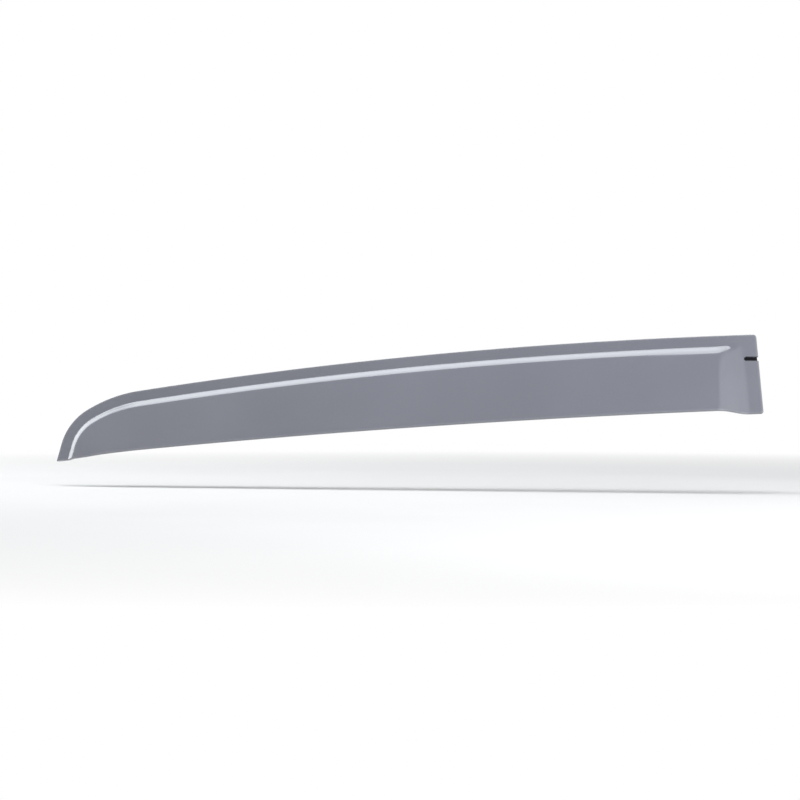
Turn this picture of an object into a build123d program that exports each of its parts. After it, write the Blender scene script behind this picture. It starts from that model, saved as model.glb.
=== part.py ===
"""Window rain deflector: a formed acrylic sheet on foam tape.

The sheet is drawn in its mounting plane: x towards its upright front end, which is called the pillar edge,
y up and z outwards. The origin of that plane is the sheet's top corner at the pillar edge. The finished
pieces are then leaned inboard, about the middle of the pillar tape's back.
"""
import os
from math import atan2, cos, degrees, radians, sin, sqrt, tan

from build123d import *

# Outer edge, from the top corner at the pillar edge backwards and round the tail, down to the rim
TOP_SLOPE = 1.6
TOP_RADIUS = 5230.0
TOP_LENGTH = 636.0
SHOULDER_RADIUS = 140.0
SHOULDER_TURN = 24.0
CORNER_RADIUS = 54.0
CORNER_TURN = 48.0

# Lower rim: its drop below the top corner, its slope there, its curve, and its lead at the pillar edge
RIM_DROP = 81.0
RIM_SLOPE = 2.5
RIM_RADIUS = 12800.0
RIM_LEAD = 10.0

# Section of the sheet
SHEET = 3.0
EDGE_EASE = 0.8
FLANGE_WIDTH = 11.0
LEDGE_RUN = 9.0
LEDGE_RISE = 4.2
LEDGE_EASE = 3.0
FACE_FLARE = 10.4
FACE_CROWN_RADIUS = 500.0
TAIL_FACE = 6.0

# Return of the face to the pillar flange, and the slot in that flange
PILLAR_FLANGE = 11.0
PILLAR_RAMP = 34.0
LEDGE_LIFT = 3.5
PILLAR_CORNER_RADIUS = 3.0
SLOT_DROP = 25.0
SLOT_LENGTH = 14.0
SLOT_HEIGHT = 4.4

# Foam tape
TAPE = 1.0
TAPE_FIT = 0.05
TAPE_WIDTH = 7.0
TAPE_MARGIN = 1.5
TAPE_BUTT_GAP = 1.0

# Mounting plane: how far it leans inboard, and the bow of the surface there towards the tail
DOOR_LEAN = 18.0
BOW_RADIUS = 28000.0

# Sections that the sheet is lofted through
CORNER_STEPS = 5
FLANGE_STEPS = 3
RAMP_STEPS = 9
TOP_STEPS = 8
TAIL_STEPS = 20
SETTLING_STEPS = (4.0, 12.0, 28.0)


def rim_point(x):
    """A point of the lower rim in the mounting plane."""
    back = -x
    return Vector(x, -(RIM_DROP + tan(radians(RIM_SLOPE)) * back + back**2 / (2 * RIM_RADIUS)))


def outer_edge():
    """The outer edge of the flange, from the pillar edge back and round the tail to the rim."""
    backwards = Vector(-cos(radians(TOP_SLOPE)), -sin(radians(TOP_SLOPE)))
    top = JernArc((0, 0), backwards, TOP_RADIUS, degrees(TOP_LENGTH / TOP_RADIUS))
    shoulder = JernArc(top @ 1, top % 1, SHOULDER_RADIUS, SHOULDER_TURN)
    corner = JernArc(shoulder @ 1, shoulder % 1, CORNER_RADIUS, CORNER_TURN)
    height = (corner @ 1).Y - rim_point((corner @ 1).X).Y
    tail = Line(corner @ 1, corner @ 1 + (corner % 1) * (height / -(corner % 1).Y))
    return Wire([top, shoulder, corner, tail])


EDGE = outer_edge()
RAMP_END = PILLAR_FLANGE + PILLAR_RAMP
FLANGE_BACK = TAPE + TAPE_FIT


def edge_point(length):
    """A point of the outer edge, by its distance along it."""
    return EDGE.position_at(length, PositionMode.LENGTH)


def bow(x):
    """How far the mounting surface has curved inboard at x."""
    return max(-PILLAR_FLANGE - x, 0) ** 2 / (2 * BOW_RADIUS)


def relief(length):
    """The share of its height that the face has: none on the pillar flange, all of it past the ramp."""
    t = min(max((length - PILLAR_FLANGE) / PILLAR_RAMP, 0), 1)
    return t**3 * (10 - 15 * t + 6 * t**2)


def corner_inset(length):
    """How far the two rounded corners at the pillar edge draw in the ends of a section."""
    left = max(PILLAR_CORNER_RADIUS - length, 0)
    return PILLAR_CORNER_RADIUS - sqrt(PILLAR_CORNER_RADIUS**2 - left**2)


def rim_opposite(length):
    """The rim's end of the section at a place along the outer edge. Round the tail they close up."""
    if length <= TOP_LENGTH:
        return rim_point(edge_point(length).X + RIM_LEAD)
    turn_start = edge_point(TOP_LENGTH).X + RIM_LEAD
    turn_end = edge_point(EDGE.length).X + FLANGE_WIDTH + LEDGE_RUN + TAIL_FACE
    share = (length - TOP_LENGTH) / (EDGE.length - TOP_LENGTH)
    return rim_point(turn_start + (turn_end - turn_start) * share)


class Station:
    """A section across the sheet: its plane, length, obliqueness to the edge, relief and margin."""

    def __init__(self, length):
        top = edge_point(length)
        tangent = EDGE.tangent_at(length, PositionMode.LENGTH)
        across = rim_opposite(length) - top
        direction = across.normalized()
        back = top + Vector(0, 0, FLANGE_BACK - bow(top.X))
        self.plane = Plane(back, x_dir=direction, z_dir=direction.cross(Vector(0, 0, 1)))
        self.length = across.length
        self.oblique = 1 / tangent.cross(direction).length
        self.relief = relief(length)
        self.margin = EDGE_EASE + corner_inset(length)

    def at(self, across, out):
        """A point of the section, by its distance from the outer edge and from the flange's back."""
        return self.plane.from_local_coords((across, out, 0))


class MiddleLine:
    """The middle of the sheet's thickness along a section: flange, ledge and crowned face."""

    def __init__(self, station):
        share = station.relief
        flange = FLANGE_WIDTH - LEDGE_LIFT * (1 - share)
        self.flange_start = station.margin
        self.ledge_start = flange * station.oblique
        self.ledge_end = (flange + LEDGE_RUN) * station.oblique
        self.face_end = station.length - station.margin
        self.flange_out = SHEET / 2
        self.ledge_out = self.flange_out + LEDGE_RISE * share
        run = self.face_end - self.ledge_end
        self.face_out = self.ledge_out + run * tan(radians(FACE_FLARE)) * share
        self.crown_across = (self.ledge_end + self.face_end) / 2
        self.crown_out = (self.ledge_out + self.face_out) / 2 + run**2 / (4 * FACE_CROWN_RADIUS) * share
        self.flare_start = atan2(self.crown_out - self.ledge_out, run / 2)
        self.flare_end = atan2(self.face_out - self.crown_out, run / 2)
        self.ease = LEDGE_EASE * station.oblique
        climb = self.ledge_out - self.flange_out - self.ease * sin(self.flare_start)
        self.bend = 2 / 3 * climb / self.ease**2


def sheet_side(station, line, offset):
    """The front or the back of the sheet at a section, at an offset from its middle line."""

    def shifted(across, out, angle):
        return station.at(across - offset * sin(angle), out + offset * cos(angle))

    near_ease = line.ease * (1 - offset * line.bend)
    far_ease = line.ease * (1 + offset * line.bend)
    handle_across = line.ledge_end - far_ease * cos(line.flare_start)
    handle_out = line.ledge_out - far_ease * sin(line.flare_start)
    ledge_start = shifted(line.ledge_start, line.flange_out, 0)
    ledge_end = shifted(line.ledge_end, line.ledge_out, line.flare_start)
    flange = Line(shifted(line.flange_start, line.flange_out, 0), ledge_start)
    ledge = Bezier(
        ledge_start,
        shifted(line.ledge_start + near_ease, line.flange_out, 0),
        shifted(handle_across, handle_out, line.flare_start),
        ledge_end,
    )
    face = Bezier(
        ledge_end,
        shifted(line.crown_across, line.crown_out, (line.flare_start + line.flare_end) / 2),
        shifted(line.face_end, line.face_out, line.flare_end),
    )
    return [flange, ledge, face]


def eased_edge(start, end, outwards):
    """The cut edge of the sheet from one side to the other, flat, with its two corners eased."""
    inwards = (end - start).normalized()
    first = start + EDGE_EASE * (outwards + inwards)
    last = end + EDGE_EASE * (outwards - inwards)
    return [Line(start, first), Line(first, last), Line(last, end)]


def sheet_section(length):
    """The closed outline of the sheet at a place along the outer edge."""
    station = Station(length)
    line = MiddleLine(station)
    front = sheet_side(station, line, SHEET / 2)
    back = sheet_side(station, line, -SHEET / 2)
    rim = eased_edge(front[-1] @ 1, back[-1] @ 1, front[-1] % 1)
    top = eased_edge(back[0] @ 0, front[0] @ 0, -(back[0] % 0))
    return Face(Wire([*front, *rim, *reversed(back), *top]))


def tape_section(length):
    """The outline of the top tape at a place along the outer edge."""
    station = Station(length)
    near = TAPE_MARGIN * station.oblique
    far = (TAPE_MARGIN + TAPE_WIDTH) * station.oblique
    front = -TAPE_FIT
    back = -FLANGE_BACK
    ends = [(near, front), (far, front), (far, back), (near, back)]
    corners = [station.at(across, out) for across, out in ends]
    return Face(Wire.make_polygon(corners))


def spread(start, end, steps):
    """Even places after start, up to and with end."""
    return [start + (end - start) * (i + 1) / steps for i in range(steps)]


def stations(start, end):
    """Places along the outer edge: close together at the ramp and the tail, further apart between them."""
    settled = [RAMP_END + step for step in SETTLING_STEPS]
    gathered = [TOP_LENGTH - step for step in reversed(SETTLING_STEPS)]
    return [
        start,
        *spread(start, PILLAR_FLANGE, FLANGE_STEPS),
        *spread(PILLAR_FLANGE, RAMP_END, RAMP_STEPS),
        *settled,
        *spread(settled[-1], gathered[0], TOP_STEPS),
        *gathered[1:],
        TOP_LENGTH,
        *spread(TOP_LENGTH, end, TAIL_STEPS),
    ]


def pillar_point(drop, inside=0):
    """A point inside the pillar edge, by its drop below the top corner."""
    foot = rim_point(RIM_LEAD)
    return Vector(foot.X * drop / -foot.Y - inside, -drop)


def corner_places():
    """Places from the pillar edge on, evenly round the arc of its two corners."""
    turns = [radians(90 * i / CORNER_STEPS) for i in range(CORNER_STEPS)]
    return [PILLAR_CORNER_RADIUS * (1 - cos(turn)) for turn in turns]


def deflector_shell():
    """The formed sheet, with the slot in its pillar flange."""
    places = [*corner_places(), *stations(PILLAR_CORNER_RADIUS, EDGE.length)]
    sheet = loft([sheet_section(length) for length in places])
    slot_outline = Pos(pillar_point(SLOT_DROP)) * SlotOverall(2 * SLOT_LENGTH, SLOT_HEIGHT)
    return sheet - extrude(slot_outline, sheet.bounding_box().size.Z, both=True)


def top_tape():
    """The strip of tape behind the top flange and round the tail."""
    places = stations(TAPE_MARGIN, EDGE.length - TAPE_MARGIN)
    return loft([tape_section(length) for length in places])


def pillar_tape():
    """The pad of tape behind the pillar flange and all of its slot, below the end of the top strip."""
    high = TAPE_MARGIN + TAPE_WIDTH + TAPE_BUTT_GAP
    low = -rim_point(RIM_LEAD).Y - TAPE_MARGIN - PILLAR_CORNER_RADIUS
    near = TAPE_MARGIN
    far = SLOT_LENGTH + TAPE_MARGIN
    ends = [(high, near), (low, near), (low, far), (high, far)]
    corners = [pillar_point(drop, inside) for drop, inside in ends]
    return extrude(make_face(Polyline(*corners, close=True)), TAPE, dir=(0, 0, 1))


pad = pillar_tape()
seat = pad.faces().sort_by(Axis.Z)[0].center()
door_plane = Plane((0, 0, 0), x_dir=(1, 0, 0), z_dir=(0, -cos(radians(DOOR_LEAN)), sin(radians(DOOR_LEAN))))
fitted = door_plane.location * Pos(-seat)

pieces = {
    "deflector_shell": deflector_shell(),
    "top_tape": top_tape(),
    "pillar_tape": pad,
}
os.makedirs("parts", exist_ok=True)
for name, piece in pieces.items():
    export_step(fitted * piece, f"parts/{name}.step")
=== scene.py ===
"""Looks of the window rain deflector: the polished sheet, its foam tape and a plain studio."""
from math import atan2, cos, pi, radians, sin, sqrt, tan

import bmesh
import bpy
import numpy as np
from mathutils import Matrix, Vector


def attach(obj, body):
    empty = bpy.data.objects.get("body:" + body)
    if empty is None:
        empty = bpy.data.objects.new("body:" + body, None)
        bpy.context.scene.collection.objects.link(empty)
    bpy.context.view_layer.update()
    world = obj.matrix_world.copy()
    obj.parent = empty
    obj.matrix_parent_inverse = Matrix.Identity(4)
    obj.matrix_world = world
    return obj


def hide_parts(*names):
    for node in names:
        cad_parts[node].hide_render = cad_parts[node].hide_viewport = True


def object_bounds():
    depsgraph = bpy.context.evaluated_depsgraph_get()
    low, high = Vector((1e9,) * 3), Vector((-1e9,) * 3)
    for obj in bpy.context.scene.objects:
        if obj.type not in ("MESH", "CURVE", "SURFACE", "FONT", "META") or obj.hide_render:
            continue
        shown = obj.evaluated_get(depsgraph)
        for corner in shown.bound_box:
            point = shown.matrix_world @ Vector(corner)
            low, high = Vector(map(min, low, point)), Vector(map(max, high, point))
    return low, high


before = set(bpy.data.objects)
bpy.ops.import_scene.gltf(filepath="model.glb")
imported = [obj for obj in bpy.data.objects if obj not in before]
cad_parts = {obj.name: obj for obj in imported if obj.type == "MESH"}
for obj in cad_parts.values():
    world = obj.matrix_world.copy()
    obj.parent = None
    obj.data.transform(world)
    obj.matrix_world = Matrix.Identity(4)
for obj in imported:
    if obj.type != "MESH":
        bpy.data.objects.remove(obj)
cad_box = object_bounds()

# Outer edge of the sheet in its mounting plane, in metres
TOP_SLOPE = radians(1.6)
TOP_RADIUS = 5.230
TOP_LENGTH = 0.636
SHOULDER_RADIUS = 0.140
SHOULDER_TURN = radians(24)
CORNER_RADIUS = 0.054
CORNER_TURN = radians(48)

# Lower rim
RIM_DROP = 0.081
RIM_SLOPE = radians(2.5)
RIM_RADIUS = 12.8
RIM_LEAD = 0.010

# Section of the sheet
SHEET = 0.003
EDGE_EASE = 0.0008
FLANGE_WIDTH = 0.011
LEDGE_RUN = 0.009
LEDGE_RISE = 0.0042
LEDGE_EASE = 0.003
FACE_FLARE = radians(10.4)
FACE_CROWN_RADIUS = 0.500
TAIL_FACE = 0.006

# Pillar end and its slot
PILLAR_FLANGE = 0.011
PILLAR_RAMP = 0.034
LEDGE_LIFT = 0.0035
PILLAR_CORNER_RADIUS = 0.003
SLOT_DROP = 0.025
SLOT_LENGTH = 0.014
SLOT_HEIGHT = 0.0044

# Tape behind the sheet
TAPE = 0.001
TAPE_FIT = 0.00005
TAPE_WIDTH = 0.007
TAPE_MARGIN = 0.0015
TAPE_BUTT_GAP = 0.001

# Mounting plane: its lean inboard, and the bow of the surface there towards the tail
DOOR_LEAN = radians(18)
BOW_RADIUS = 28.0

# Mesh density: steps round an edge or the slot, columns across the sheet and rows along it
EDGE_STEPS = 6
SLOT_STEPS = 24
FLANGE_COLUMNS = 8
LEDGE_COLUMNS = 28
FACE_COLUMNS = 36
CORNER_ROWS = 6
FLANGE_ROWS = 8
RAMP_ROWS = 56
TOP_ROWS = 70
TAIL_ROWS = 130
SHARP_ANGLE = radians(40)

# Limits of the eased rim: how little a section may slant to it, and how much of the face it may take
LEAST_SLANT = 1e-6
LARGEST_SHARE = 0.4

# Name of the mesh attribute that holds each point's distance to the nearest edge
EDGE_DISTANCE = "edge_distance"

# Colours, linear
ACRYLIC_DARK = (0.148, 0.150, 0.183, 1)
ACRYLIC_PALE = (0.169, 0.172, 0.207, 1)
# Lighter colour towards every edge: rubbed wear, and partly a painted highlight along the edges
ACRYLIC_WORN_EDGE_HIGHLIGHT = (0.30, 0.305, 0.33, 1)
DUST = (0.34, 0.34, 0.34, 1)
FOAM_DARK = (0.008, 0.008, 0.010, 1)
FOAM_PALE = (0.020, 0.020, 0.022, 1)
FLOOR_DARK = (0.82, 0.80, 0.785, 1)
FLOOR_PALE = (0.85, 0.83, 0.815, 1)
WHITE = (1, 1, 1, 1)

# The range that holds most of a noise's values
NOISE_MIDDLE = (0.3, 0.7)

# Finish of the acrylic: noise scales per metre, widths and heights in metres
TINT_SCALE = 7.0
# Width and share of the lighter edge band, which is rubbed wear and partly a painted edge highlight
WORN_EDGE_HIGHLIGHT_WIDTH = 0.0022
WORN_EDGE_HIGHLIGHT_SHARE = 0.45
PATCH_SCALE = 22.0
PATCH_RANGE = (0.42, 0.7)
PATCH_SHARE = (0.05, 0.5)
DUST_SCALE = 1500.0
DUST_RANGE = (0.62, 0.74)
DUST_SHARE = 0.5
DUST_ROUGHNESS = 0.25
HAIRLINE_SCALE = 5.0
HAIRLINE_STRETCH = (9, 260, 260)
HAIRLINE_RANGE = (0.62, 0.72)
HAIRLINE_ROUGHNESS = 0.12
GLOSS_SCALE = 30.0
GLOSS_ROUGHNESS = (0.07, 0.12)
WAVE_SCALE = 16.0
WAVE_STRETCH = (0.5, 1, 1)
WAVE_HEIGHT = 0.0004
PEEL_SCALE = 700.0
PEEL_HEIGHT = 0.000004
ACRYLIC_IOR = 1.49
COAT_WEIGHT = 0.8
COAT_ROUGHNESS = 0.04

# Finish of the foam
MOTTLE_SCALE = 420.0
CELL_SCALE = 2600.0
CELL_HEIGHT = 0.00012
FOAM_ROUGHNESS_SCALE = 160.0
FOAM_ROUGHNESS = (0.78, 0.92)
FOAM_SPECULAR = 0.2

# Floor
FLOOR_DROP = 0.025
FLOOR_CLEAR = 0.5
FLOOR_RADIUS = 1.3
FLOOR_POINTS = 96
FLOOR_SCALE = 3.0
FLOOR_ROUGHNESS = 0.9
FLOOR_SPECULAR = 0.1

# Camera
CENTRE = (Vector(cad_box[0]) + Vector(cad_box[1])) / 2
CAMERA = Vector((0.259, -2.45, 0.0))
LENS = 113.0
SENSOR = 36.0

# Lamps: where across a softbox it is brightest and has faded in, then name, place, aim, size and watts
FILL_COLOUR = (0.93, 0.96, 1.0, 1)
FILL_STRENGTH = 0.22
SOFTBOX_COLOUR = (0.93, 0.97, 1.0)
SOFTBOX_MIDDLE = 0.5
SOFTBOX_FADE = 0.2
SOFTBOXES = (
    ("overhead", (-0.80, 0.01, 1.50), (-0.80, 0.0, 0.0), (2.1, 1.05), 30.0),
    ("left", (-2.05, 0.10, 0.80), (-0.68, 0.0, 0.0), (0.9, 1.9), 21.0),
    ("right", (0.78, -0.69, 0.79), (0.14, 0.07, -0.05), (2.6, 0.88), 6.3),
    ("upper_right", (0.58, -0.26, 1.34), (-0.06, 0.50, 0.50), (1.4, 0.9), 3.5),
    ("over_pillar", (-0.15, -0.53, 1.50), (-0.15, -0.53, 0.0), (0.5, 0.36), 2.4),
    ("front", (0.55, -0.90, 0.12), (-0.05, 0.0, 0.0), (1.0, 0.8), 12.5),
)


def rim_height(x):
    """Height of the lower rim in the mounting plane."""
    return -(RIM_DROP - tan(RIM_SLOPE) * x + x**2 / (2 * RIM_RADIUS))


def rim_angle(x):
    """Angle of the lower rim to the horizontal."""
    return np.arctan(tan(RIM_SLOPE) - x / RIM_RADIUS)


def pillar_edge(drop):
    """Place along the mounting plane of the pillar edge, by the drop below its top corner."""
    return RIM_LEAD * drop / -rim_height(RIM_LEAD)


def arc(start, heading, radius, length):
    """Point and heading after a left-hand arc."""
    turned = heading + length / radius
    x = start[0] + radius * (sin(turned) - sin(heading))
    y = start[1] - radius * (cos(turned) - cos(heading))
    return (x, y), turned


# Parts of the outer edge: a long top, a shoulder, a corner and a straight tail
SHOULDER_START, SHOULDER_HEADING = arc((0, 0), pi + TOP_SLOPE, TOP_RADIUS, TOP_LENGTH)
SHOULDER_LENGTH = SHOULDER_RADIUS * SHOULDER_TURN
CORNER_START, CORNER_HEADING = arc(SHOULDER_START, SHOULDER_HEADING, SHOULDER_RADIUS, SHOULDER_LENGTH)
CORNER_LENGTH = CORNER_RADIUS * CORNER_TURN
TAIL_START, TAIL_HEADING = arc(CORNER_START, CORNER_HEADING, CORNER_RADIUS, CORNER_LENGTH)
TAIL_LENGTH = (rim_height(TAIL_START[0]) - TAIL_START[1]) / sin(TAIL_HEADING)
CORNER_END = TOP_LENGTH + SHOULDER_LENGTH + CORNER_LENGTH
EDGE_LENGTH = CORNER_END + TAIL_LENGTH

# Seat: how far out the back of the flange lies, and the middle of the pillar pad, which is the origin
FLANGE_BACK = TAPE + TAPE_FIT
SEAT_DROP = (TAPE_WIDTH + TAPE_BUTT_GAP - rim_height(RIM_LEAD) - PILLAR_CORNER_RADIUS) / 2
SEAT_X = pillar_edge(SEAT_DROP) - TAPE_MARGIN - SLOT_LENGTH / 2


def edge_at(length):
    """Point and heading of the outer edge, by the distance along it."""
    if length <= TOP_LENGTH:
        return arc((0, 0), pi + TOP_SLOPE, TOP_RADIUS, length)
    if length <= TOP_LENGTH + SHOULDER_LENGTH:
        return arc(SHOULDER_START, SHOULDER_HEADING, SHOULDER_RADIUS, length - TOP_LENGTH)
    if length <= CORNER_END:
        return arc(CORNER_START, CORNER_HEADING, CORNER_RADIUS, length - TOP_LENGTH - SHOULDER_LENGTH)
    run = length - CORNER_END
    return (TAIL_START[0] + run * cos(TAIL_HEADING), TAIL_START[1] + run * sin(TAIL_HEADING)), TAIL_HEADING


def rim_opposite(length):
    """The rim's end of the section at a place along the outer edge."""
    if length <= TOP_LENGTH:
        return edge_at(length)[0][0] + RIM_LEAD
    turn_start = SHOULDER_START[0] + RIM_LEAD
    turn_end = edge_at(EDGE_LENGTH)[0][0] + FLANGE_WIDTH + LEDGE_RUN + TAIL_FACE
    return turn_start + (turn_end - turn_start) * (length - TOP_LENGTH) / (EDGE_LENGTH - TOP_LENGTH)


def relief(length):
    """The share of its height that the face has: a smooth rise along the ramp."""
    t = min(max((length - PILLAR_FLANGE) / PILLAR_RAMP, 0), 1)
    return t**3 * (10 - 15 * t + 6 * t**2)


def bezier(points, t):
    """Points of a Bezier curve at the parameters t."""
    points = [np.outer(np.ones_like(t), p) for p in points]
    while len(points) > 1:
        points = [a + (b - a) * t[:, None] for a, b in zip(points, points[1:])]
    return points[0]


def eased_steps():
    """Distances from an edge, evenly spaced round the arc that eases its corner."""
    return EDGE_EASE * (1 - np.cos(np.linspace(0, pi / 2, EDGE_STEPS + 1)))


def profile(start, end, oblique, slant, share):
    """Front and back of the sheet from its outer edge to its rim, as distances across and out."""
    flange = FLANGE_WIDTH - LEDGE_LIFT * (1 - share)
    ledge_start = flange * oblique
    ledge_end = (flange + LEDGE_RUN) * oblique
    run = end - ledge_end
    flange_out = SHEET / 2
    ledge_out = flange_out + LEDGE_RISE * share
    face_out = ledge_out + run * tan(FACE_FLARE) * share
    crown_out = (ledge_out + face_out) / 2 + run**2 / (4 * FACE_CROWN_RADIUS) * share
    flare_start = atan2(crown_out - ledge_out, run / 2)
    flare_end = atan2(face_out - crown_out, run / 2)
    ease = LEDGE_EASE * oblique
    # Curvature where the ledge starts, taken reversed where it ends, to fit each side's handles to it
    bend = 2 / 3 * (ledge_out - flange_out - ease * sin(flare_start)) / ease**2

    steps = eased_steps()
    eased = start + steps * oblique
    flange_a = np.concatenate([eased, np.linspace(eased[-1], ledge_start, FLANGE_COLUMNS)[1:]])
    ledge_t = np.linspace(0, 1, LEDGE_COLUMNS)[1:]
    rim_t = steps / max(slant, LEAST_SLANT) / run
    rim_t = np.minimum(rim_t, np.linspace(0, LARGEST_SHARE, EDGE_STEPS + 1))[::-1]
    face_t = np.concatenate([np.linspace(0, 1 - rim_t[0], FACE_COLUMNS)[1:-1], 1 - rim_t])

    def side(offset):
        def shifted(a, out, angle):
            return np.array([a - offset * sin(angle), out + offset * cos(angle)])

        near_ease = ease * (1 - offset * bend)
        far_ease = ease * (1 + offset * bend)
        handle = (ledge_end - far_ease * cos(flare_start), ledge_out - far_ease * sin(flare_start))
        ledge = [
            shifted(ledge_start, flange_out, 0),
            shifted(ledge_start + near_ease, flange_out, 0),
            shifted(*handle, flare_start),
            shifted(ledge_end, ledge_out, flare_start),
        ]
        face = [
            ledge[-1],
            shifted((ledge_end + end) / 2, crown_out, (flare_start + flare_end) / 2),
            shifted(end, face_out, flare_end),
        ]
        flat = np.column_stack([flange_a, np.full_like(flange_a, flange_out + offset)])
        return np.concatenate([flat, bezier(ledge, ledge_t), bezier(face, face_t)])

    return side(SHEET / 2), side(-SHEET / 2)


def corner_distance(a, b):
    """Distance to two edges at right angles whose corner is rounded."""
    inner_a = np.clip(PILLAR_CORNER_RADIUS - a, 0, None)
    inner_b = np.clip(PILLAR_CORNER_RADIUS - b, 0, None)
    rounded = PILLAR_CORNER_RADIUS - np.hypot(inner_a, inner_b)
    return np.where((inner_a > 0) & (inner_b > 0), rounded, np.minimum(a, b))


def edge_distance(plan, to_outer):
    """Distance of points in the mounting plane to the nearest edge of the sheet."""
    x, y = plan.T
    to_rim = (y - rim_height(x)) * np.cos(rim_angle(x))
    foot = np.array([RIM_LEAD, rim_height(RIM_LEAD)])
    foot_direction = foot / np.hypot(*foot)
    to_pillar = np.abs(x * foot_direction[1] - y * foot_direction[0])
    distance = np.minimum(corner_distance(to_pillar, to_outer), corner_distance(to_pillar, to_rim))
    return np.clip(distance, 0, None)


def section(length):
    """Front and back of the sheet at a place along the outer edge, with each point's edge distance."""
    (x, y), heading = edge_at(length)
    rim_x = rim_opposite(length)
    across = np.array([rim_x - x, rim_height(rim_x) - y])
    reach = np.hypot(*across)
    across = across / reach
    oblique = 1 / abs(cos(heading) * across[1] - sin(heading) * across[0])
    slant = abs(sin(atan2(across[1], across[0]) - rim_angle(rim_x)))
    corner = max(PILLAR_CORNER_RADIUS - length, 0)
    inset = PILLAR_CORNER_RADIUS - sqrt(PILLAR_CORNER_RADIUS**2 - corner**2)

    front, back = profile(inset, reach - inset, oblique, slant, relief(length))
    middle = (front + back) / 2
    distance = edge_distance(np.array([x, y]) + middle[:, :1] * across, middle[:, 0] / oblique)
    left = np.clip(EDGE_EASE - distance, 0, None)
    squeeze = (SHEET / 2 - EDGE_EASE + np.sqrt(EDGE_EASE**2 - left**2)) / (SHEET / 2)

    base = FLANGE_BACK - max(-PILLAR_FLANGE - x, 0) ** 2 / (2 * BOW_RADIUS)
    sides = []
    for surface in (front, back):
        eased = middle + (surface - middle) * squeeze[:, None]
        plan = np.array([x, y]) + eased[:, :1] * across
        sides.append(np.column_stack([plan, base + eased[:, 1]]))
    return sides[0], sides[1], distance


def placed(points):
    """Points of the mounting plane's frame in the part's frame."""
    x = points[..., 0] - SEAT_X
    up = points[..., 1] + SEAT_DROP
    out = points[..., 2]
    y = up * sin(DOOR_LEAN) - out * cos(DOOR_LEAN)
    z = up * cos(DOOR_LEAN) + out * sin(DOOR_LEAN)
    return np.stack([x, y, z], axis=-1)


def rows():
    """Places along the outer edge, close together where the sheet turns."""
    ramp_end = PILLAR_FLANGE + PILLAR_RAMP
    steps = eased_steps()
    return np.concatenate(
        [
            steps,
            np.linspace(steps[-1], PILLAR_CORNER_RADIUS, CORNER_ROWS)[1:],
            np.linspace(PILLAR_CORNER_RADIUS, PILLAR_FLANGE, FLANGE_ROWS)[1:],
            np.linspace(PILLAR_FLANGE, ramp_end, RAMP_ROWS)[1:],
            np.linspace(ramp_end, TOP_LENGTH, TOP_ROWS)[1:],
            np.linspace(TOP_LENGTH, EDGE_LENGTH - steps[-1], TAIL_ROWS)[1:],
            (EDGE_LENGTH - steps[::-1])[1:],
        ]
    )


def shell_mesh():
    """The formed sheet as one closed mesh: two sides and the flat band round their edges."""
    fronts, backs, distances = zip(*[section(length) for length in rows()])
    front = placed(np.array(fronts))
    back = placed(np.array(backs))
    along, across = front.shape[:2]
    half = along * across
    index = np.arange(half).reshape(along, across)
    quads = np.stack([index[:-1, :-1], index[:-1, 1:], index[1:, 1:], index[1:, :-1]], axis=-1)
    quads = quads.reshape(-1, 4)
    loop = np.concatenate([index[:, 0], index[-1, 1:], index[-2::-1, -1], index[0, -2:0:-1]])
    after = np.roll(loop, -1)
    band = np.stack([loop, after, after + half, loop + half], axis=-1)
    faces = np.concatenate([quads[:, ::-1], quads + half, band[:, ::-1]])
    vertices = np.concatenate([front.reshape(-1, 3), back.reshape(-1, 3)])
    mesh = bpy.data.meshes.new("deflector_sheet")
    mesh.from_pydata(vertices.tolist(), [], faces.tolist())
    edge = mesh.attributes.new(EDGE_DISTANCE, "FLOAT", "POINT")
    edge.data.foreach_set("value", np.tile(np.ravel(distances), 2).astype(np.float32))
    mesh.validate()
    mesh.update()
    return mesh


def slot_cutter():
    """A long rounded bar in the place of the slot in the pillar flange."""
    radius = SLOT_HEIGHT / 2
    edge_x = pillar_edge(SLOT_DROP)
    turn_x = edge_x - SLOT_LENGTH + radius
    turns = np.linspace(pi / 2, 3 * pi / 2, SLOT_STEPS)
    outline = [(edge_x + SLOT_LENGTH, -SLOT_DROP + radius)]
    outline += [(turn_x + radius * cos(t), -SLOT_DROP + radius * sin(t)) for t in turns]
    outline += [(edge_x + SLOT_LENGTH, -SLOT_DROP - radius)]
    n = len(outline)
    ends = [np.column_stack([outline, np.full(n, out)]) for out in (-SLOT_LENGTH, SLOT_LENGTH)]
    walls = [(i, (i + 1) % n, (i + 1) % n + n, i + n) for i in range(n)]
    mesh = bpy.data.meshes.new("slot_cutter")
    corners = placed(np.concatenate(ends)).tolist()
    mesh.from_pydata(corners, [], [*walls, range(n)[::-1], range(n, 2 * n)])
    return bpy.data.objects.new("slot_cutter", mesh)


def link(item):
    """Puts an object in the scene."""
    bpy.context.scene.collection.objects.link(item)


def split_many_sided(mesh):
    """Splits faces of more than four corners into well-shaped triangles."""
    work = bmesh.new()
    work.from_mesh(mesh)
    many_sided = [face for face in work.faces if len(face.verts) > 4]
    bmesh.ops.triangulate(work, faces=many_sided, ngon_method="BEAUTY")
    work.to_mesh(mesh)
    work.free()


def cut(piece, cutter):
    """Cuts one mesh out of another for good."""
    link(cutter)
    modifier = piece.modifiers.new("slot", "BOOLEAN")
    modifier.operation = "DIFFERENCE"
    modifier.solver = "EXACT"
    modifier.object = cutter
    graph = bpy.context.evaluated_depsgraph_get()
    result = bpy.data.meshes.new_from_object(piece.evaluated_get(graph))
    split_many_sided(result)
    piece.modifiers.clear()
    piece.data = result
    bpy.data.objects.remove(cutter)


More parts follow.
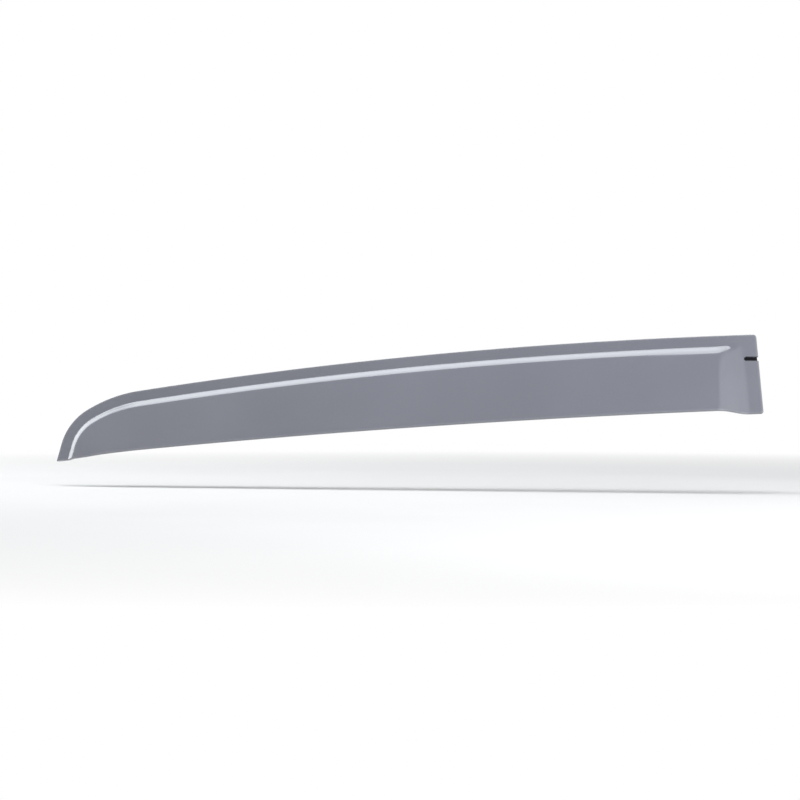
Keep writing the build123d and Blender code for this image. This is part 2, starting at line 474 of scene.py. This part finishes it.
class Nodes:
    """A node tree, with short calls to add and join nodes."""

    def __init__(self, tree):
        self.tree = tree

    def add(self, kind, settings=None, **inputs):
        """A new node, with its settings and its inputs by name."""
        node = self.tree.nodes.new(kind)
        for key, value in (settings or {}).items():
            setattr(node, key, value)
        for key, value in inputs.items():
            self.put(node.inputs[key.replace("_", " ")], value)
        return node

    def put(self, socket, value):
        """Joins another socket to this one, or sets its value."""
        if isinstance(value, bpy.types.NodeSocket):
            self.tree.links.new(value, socket)
        else:
            socket.default_value = value

    def math(self, operation, a, b):
        """The result of an operation on two numbers."""
        node = self.add("ShaderNodeMath", {"operation": operation})
        self.put(node.inputs[0], a)
        self.put(node.inputs[1], b)
        return node.outputs["Value"]

    def fitted(self, value, given, to=(0, 1), curve="LINEAR"):
        """A value moved from one range to another, and kept within it."""
        ends = {"From_Min": given[0], "From_Max": given[1], "To_Min": to[0], "To_Max": to[1]}
        node = self.add("ShaderNodeMapRange", {"interpolation_type": curve}, Value=value, **ends)
        return node.outputs["Result"]

    def mix_shaders(self, share, a, b):
        """Two shaders, the second by its share."""
        node = self.add("ShaderNodeMixShader", Fac=share)
        self.put(node.inputs[1], a)
        self.put(node.inputs[2], b)
        return node.outputs["Shader"]

    def seen(self):
        """Whether a ray comes from the camera, straight, by a reflection or through a clear surface."""
        rays = self.add("ShaderNodeLightPath").outputs
        by_way = self.math("MAXIMUM", rays["Is Glossy Ray"], rays["Is Transmission Ray"])
        return self.math("MAXIMUM", rays["Is Camera Ray"], by_way)


class Surface(Nodes):
    """The node tree of a new material, with calls for its patterns."""

    # The colour sockets of a Mix node, which share their names with others
    COLOUR_A = 6
    COLOUR_B = 7
    COLOUR_OUT = 2

    def __init__(self, name):
        self.material = bpy.data.materials.new(name)
        self.material.use_nodes = True
        super().__init__(self.material.node_tree)
        self.shader = self.tree.nodes["Principled BSDF"]
        self.place = self.add("ShaderNodeTexCoord").outputs["Object"]

    def give(self, **inputs):
        """Sets or joins inputs of the shader by name."""
        for key, value in inputs.items():
            self.put(self.shader.inputs[key.replace("_", " ")], value)

    def noise(self, scale, detail=2.0, stretch=None):
        """Noise by the place on the object, finer along an axis that is stretched more."""
        place = self.place
        if stretch:
            place = self.add("ShaderNodeMapping", Vector=place, Scale=stretch).outputs["Vector"]
        return self.add("ShaderNodeTexNoise", Vector=place, Scale=scale, Detail=detail).outputs["Fac"]

    def mix(self, share, a, b):
        """Two colours, the second by its share."""
        node = self.add("ShaderNodeMix", {"data_type": "RGBA"}, Factor=share)
        self.put(node.inputs[self.COLOUR_A], a)
        self.put(node.inputs[self.COLOUR_B], b)
        return node.outputs[self.COLOUR_OUT]

    def bump(self, height, distance, normal=None):
        """The surface's normal, or the one that is given, bent by a height."""
        node = self.add("ShaderNodeBump", Height=height, Distance=distance)
        if normal:
            self.put(node.inputs["Normal"], normal)
        return node.outputs["Normal"]


def smoke_acrylic():
    """Polished smoke-grey acrylic: a drifting tint, forming waves, hairlines, dust, and edges made lighter
    for rubbed wear and as a painted highlight.
    """
    n = Surface("smoke_acrylic")
    tint = n.mix(n.fitted(n.noise(TINT_SCALE), NOISE_MIDDLE), ACRYLIC_DARK, ACRYLIC_PALE)
    edge = n.add("ShaderNodeAttribute", {"attribute_name": EDGE_DISTANCE}).outputs["Fac"]
    # Lighter towards every edge: rubbed wear, and partly a painted highlight along the edges
    tint = n.mix(n.fitted(edge, (0, WORN_EDGE_HIGHLIGHT_WIDTH), (WORN_EDGE_HIGHLIGHT_SHARE, 0)), tint, ACRYLIC_WORN_EDGE_HIGHLIGHT)
    patches = n.fitted(n.noise(PATCH_SCALE), PATCH_RANGE, PATCH_SHARE)
    specks = n.fitted(n.noise(DUST_SCALE, detail=1), DUST_RANGE)
    dust = n.math("MULTIPLY", specks, patches)
    scratches = n.fitted(n.noise(HAIRLINE_SCALE, detail=3, stretch=HAIRLINE_STRETCH), HAIRLINE_RANGE)
    hairlines = n.math("MULTIPLY", scratches, patches)
    gloss = n.fitted(n.noise(GLOSS_SCALE, detail=4), NOISE_MIDDLE, GLOSS_ROUGHNESS)
    dulled = n.math("ADD", gloss, n.math("MULTIPLY", dust, DUST_ROUGHNESS))
    waves = n.bump(n.noise(WAVE_SCALE, detail=1, stretch=WAVE_STRETCH), WAVE_HEIGHT)
    n.give(
        Base_Color=n.mix(n.math("MULTIPLY", dust, DUST_SHARE), tint, DUST),
        Roughness=n.math("ADD", dulled, n.math("MULTIPLY", hairlines, HAIRLINE_ROUGHNESS)),
        Normal=n.bump(n.noise(PEEL_SCALE, detail=1), PEEL_HEIGHT, waves),
        IOR=ACRYLIC_IOR,
        Coat_Weight=COAT_WEIGHT,
        Coat_Roughness=COAT_ROUGHNESS,
    )
    return n.material


def foam_tape():
    """Black closed-cell foam: fine open cells at its cut edges and a slightly mottled colour."""
    n = Surface("foam_tape")
    mottle = n.fitted(n.noise(MOTTLE_SCALE, detail=3), NOISE_MIDDLE)
    cells = n.add("ShaderNodeTexVoronoi", Vector=n.place, Scale=CELL_SCALE).outputs["Distance"]
    n.give(
        Base_Color=n.mix(mottle, FOAM_DARK, FOAM_PALE),
        Roughness=n.fitted(n.noise(FOAM_ROUGHNESS_SCALE), NOISE_MIDDLE, FOAM_ROUGHNESS),
        Normal=n.bump(cells, CELL_HEIGHT),
        Specular_IOR_Level=FOAM_SPECULAR,
    )
    return n.material


def pale_floor():
    """A plain pale floor that fades to the white of the background away from the part."""
    n = Surface("pale_floor")
    n.give(
        Base_Color=n.mix(n.fitted(n.noise(FLOOR_SCALE), NOISE_MIDDLE), FLOOR_DARK, FLOOR_PALE),
        Roughness=FLOOR_ROUGHNESS,
        Specular_IOR_Level=FLOOR_SPECULAR,
    )
    away = n.add("ShaderNodeVectorMath", {"operation": "LENGTH"}, Vector=n.place).outputs["Value"]
    fade = n.math("MULTIPLY", n.fitted(away, (FLOOR_CLEAR, FLOOR_RADIUS)), n.seen())
    white = n.add("ShaderNodeEmission", Color=WHITE, Strength=1.0).outputs["Emission"]
    shown = n.mix_shaders(fade, n.shader.outputs["BSDF"], white)
    n.put(n.tree.nodes["Material Output"].inputs["Surface"], shown)
    return n.material


def add_world():
    """A white background that lights the part only with a faint cool fill."""
    world = bpy.data.worlds.new("studio")
    world.use_nodes = True
    n = Nodes(world.node_tree)
    fill = n.tree.nodes["Background"]
    n.put(fill.inputs["Color"], FILL_COLOUR)
    n.put(fill.inputs["Strength"], FILL_STRENGTH)
    white = n.add("ShaderNodeBackground", Color=WHITE)
    shown = n.mix_shaders(n.seen(), fill.outputs["Background"], white.outputs["Background"])
    n.put(n.tree.nodes["World Output"].inputs["Surface"], shown)
    bpy.context.scene.world = world


def add_floor():
    """A round floor below the part, which hangs from its mount."""
    mesh = bpy.data.meshes.new("floor")
    turns = np.linspace(0, 2 * pi, FLOOR_POINTS, endpoint=False)
    rim = [(FLOOR_RADIUS * cos(t), FLOOR_RADIUS * sin(t), 0) for t in turns]
    mesh.from_pydata(rim, [], [range(len(rim))])
    mesh.materials.append(pale_floor())
    floor = bpy.data.objects.new("floor", mesh)
    floor.location = (CENTRE.x, CENTRE.y, cad_box[0][2] - FLOOR_DROP)
    link(floor)


def aim(holder, place, target):
    """Puts a lamp or a camera in its place and turns it to its target."""
    holder.location = place
    holder.rotation_euler = (Vector(target) - Vector(place)).to_track_quat("-Z", "Y").to_euler()


def add_softbox(name, place, target, size, watts):
    """A rectangular lamp that fades towards its edges."""
    lamp = bpy.data.lights.new(name, "AREA")
    lamp.shape = "RECTANGLE"
    lamp.size, lamp.size_y = size
    lamp.energy = watts
    lamp.color = SOFTBOX_COLOUR
    lamp.use_nodes = True
    n = Nodes(lamp.node_tree)
    across = n.add("ShaderNodeNewGeometry").outputs["Parametric"]
    inside = n.add("ShaderNodeSeparateXYZ", Vector=across).outputs
    to_edges = [n.math("PINGPONG", inside[axis], SOFTBOX_MIDDLE) for axis in ("X", "Y")]
    shares = [n.fitted(to_edge, (0, SOFTBOX_FADE), curve="SMOOTHSTEP") for to_edge in to_edges]
    n.put(n.tree.nodes["Emission"].inputs["Strength"], n.math("MULTIPLY", *shares))
    holder = bpy.data.objects.new(name, lamp)
    aim(holder, place, target)
    link(holder)


def add_camera():
    """The camera, where the photograph's stood, turned to the middle of the part."""
    camera = bpy.data.cameras.new("camera")
    camera.lens = LENS
    camera.sensor_width = SENSOR
    holder = bpy.data.objects.new("camera", camera)
    aim(holder, CAMERA, CENTRE)
    link(holder)
    bpy.context.scene.camera = holder


sheet = bpy.data.objects.new("deflector_sheet", shell_mesh())
link(sheet)
cut(sheet, slot_cutter())
sheet.data.shade_smooth()
sheet.data.set_sharp_from_angle(angle=SHARP_ANGLE)
sheet.data.materials.clear()
sheet.data.materials.append(smoke_acrylic())
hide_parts("deflector_shell")
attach(sheet, "root")

foam = foam_tape()
for node in ("top_tape", "pillar_tape"):
    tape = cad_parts[node]
    tape.data.materials.clear()
    tape.data.materials.append(foam)

bpy.context.scene.view_settings.view_transform = "Standard"
add_world()
add_floor()
for softbox in SOFTBOXES:
    add_softbox(*softbox)
add_camera()
